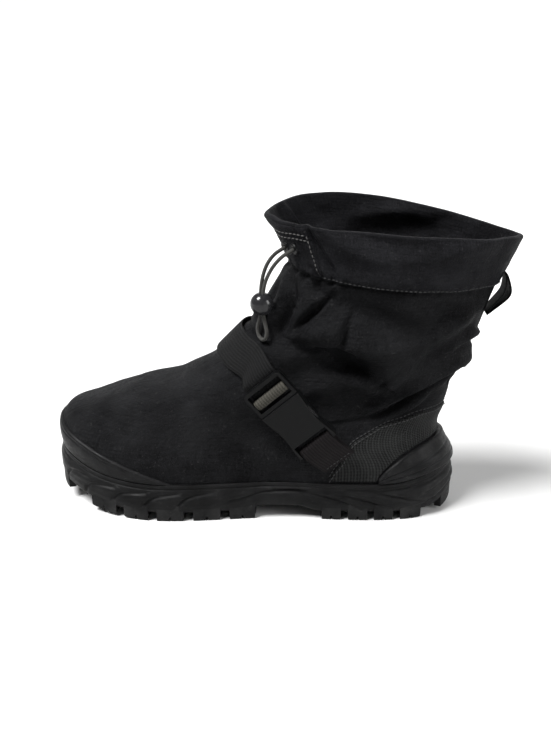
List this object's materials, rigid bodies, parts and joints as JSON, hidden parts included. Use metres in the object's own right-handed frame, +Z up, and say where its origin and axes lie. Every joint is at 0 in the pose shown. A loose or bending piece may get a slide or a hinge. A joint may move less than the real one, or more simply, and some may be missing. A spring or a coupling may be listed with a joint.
{
  "type": "winter overshoe",
  "caption": "Left winter overshoe: rubber lug sole, slack fabric shaft with drawcord cuff, instep strap with side-release buckle.",
  "frame": {"origin": "on the ground under the centre of the heel, on the flat face of the heel's inner chevron", "axes": "-X towards the toe, +Y towards the medial side, +Z up"},
  "size_m": [0.3639, 0.1222, 0.2395],
  "materials": {
    "outsole_rubber": "satin",
    "cap_rubber": "satin",
    "shaft_fabric": "matte",
    "coated_mesh": "satin",
    "webbing": "matte",
    "lining": "matte",
    "drawcord": "matte",
    "buckle_plastic": "satin",
    "lock_plastic": "gloss"
  },
  "bodies": {
    "root": {"outsole": "outsole_rubber", "insole": "lining", "upper": "shaft_fabric", "cuff": "shaft_fabric", "placket": "shaft_fabric", "toe_cap": "cap_rubber", "heel_counter": "cap_rubber", "quarter_lateral": "coated_mesh", "quarter_medial": "coated_mesh", "strap_lateral": "webbing", "strap_front": "webbing", "pull_loop": "webbing", "buckle_body": "buckle_plastic", "buckle_frame": "buckle_plastic", "eyelet_a": "buckle_plastic", "eyelet_b": "buckle_plastic", "cord_lock": "lock_plastic", "drawcord": "drawcord"}
  },
  "joints": []
}
